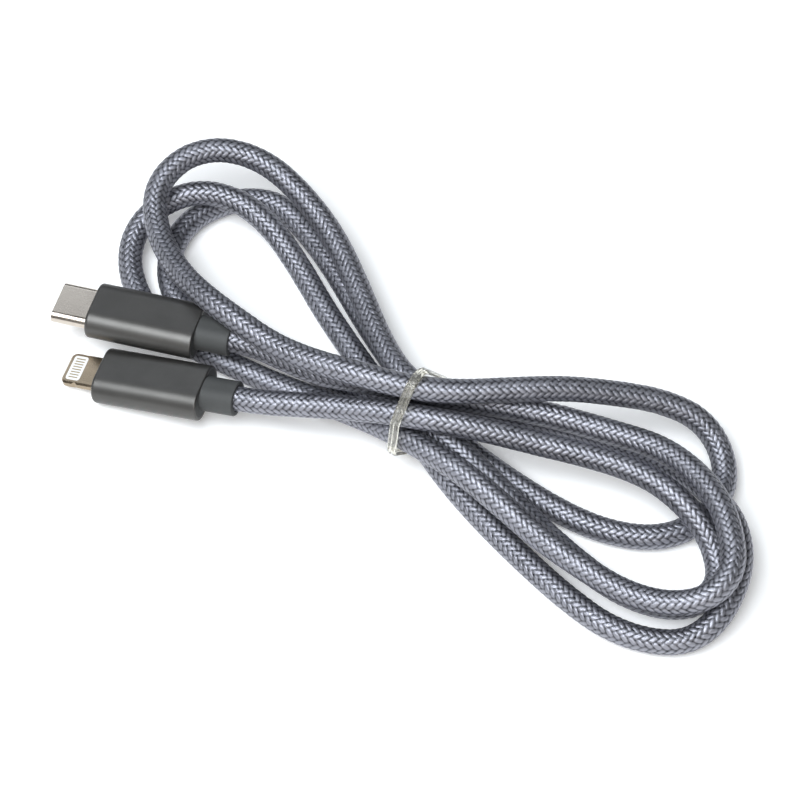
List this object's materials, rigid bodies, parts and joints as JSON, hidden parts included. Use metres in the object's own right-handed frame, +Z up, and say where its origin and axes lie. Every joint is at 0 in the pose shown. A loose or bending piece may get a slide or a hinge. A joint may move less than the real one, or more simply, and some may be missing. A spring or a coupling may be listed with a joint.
{
  "type": "charging cable",
  "caption": "Braided charging cable with a flat reversible plug at one end and a flat tab plug at the other, wound in a figure-of-eight hank held by a clear elastic band.",
  "frame": {"origin": "middle of the hank's footprint, on the surface it lies on", "axes": "+Z up out of the surface, +X along the hank from the plugs to the far loops, +Y across it"},
  "size_m": [0.1204, 0.1019, 0.0197],
  "materials": {
    "nickel_steel": "satin nickel-plated steel",
    "black_plastic": "moulded black",
    "gold_contact": "gold-plated",
    "spring_steel": "bright stamped",
    "circuit_board": "solder mask",
    "chip_plastic": "moulded",
    "can_steel": "drawn tinned steel",
    "wire_sleeve": "extruded",
    "jacket_plastic": "extruded",
    "inner_mould": "moulded",
    "housing_aluminium": "matte anodised anthracite",
    "collar_rubber": "matte moulded",
    "tab_nickel": "satin nickel-plated",
    "white_insulator": "moulded white",
    "braid": "braided grey polyester",
    "clear_band": "clear"
  },
  "bodies": {
    "cable": {"usb_c_shell": "nickel_steel", "usb_c_contact_carrier": "black_plastic", "usb_c_contacts": "gold_contact", "usb_c_ground_springs": "spring_steel", "usb_c_board": "circuit_board", "usb_c_chips": "chip_plastic", "usb_c_shield_can": "can_steel", "usb_c_wires": "wire_sleeve", "usb_c_ferrule": "can_steel", "usb_c_jacket_end": "jacket_plastic", "usb_c_inner_mould": "inner_mould", "usb_c_housing": "housing_aluminium", "usb_c_collar": "collar_rubber", "eight_pin_frame": "tab_nickel", "eight_pin_insulator": "white_insulator", "eight_pin_contacts": "gold_contact", "eight_pin_board": "circuit_board", "eight_pin_chips": "chip_plastic", "eight_pin_shield_can": "can_steel", "eight_pin_wires": "wire_sleeve", "eight_pin_ferrule": "can_steel", "eight_pin_jacket_end": "jacket_plastic", "eight_pin_inner_mould": "inner_mould", "eight_pin_housing": "housing_aluminium", "eight_pin_collar": "collar_rubber", "braided_cable": "braid", "tie_band": "clear_band"},
    "latch_left": {"usb_c_latch_left": "spring_steel"},
    "latch_right": {"usb_c_latch_right": "spring_steel"}
  },
  "joints": [
    {"name": "latch_left_flex", "type": "hinge", "parent": "cable", "child": "latch_left", "pos_m": [-0.05185, 0.01307, 0.00737], "axis": [-0.0583, 0.0182, 0.9981], "range_deg": [0, 1.4], "stiffness_Nm_per_rad": 0.02},
    {"name": "latch_right_flex", "type": "hinge", "parent": "cable", "child": "latch_right", "pos_m": [-0.04986, 0.01946, 0.00737], "axis": [0.0583, -0.0182, -0.9981], "range_deg": [0, 1.4], "stiffness_Nm_per_rad": 0.02}
  ]
}
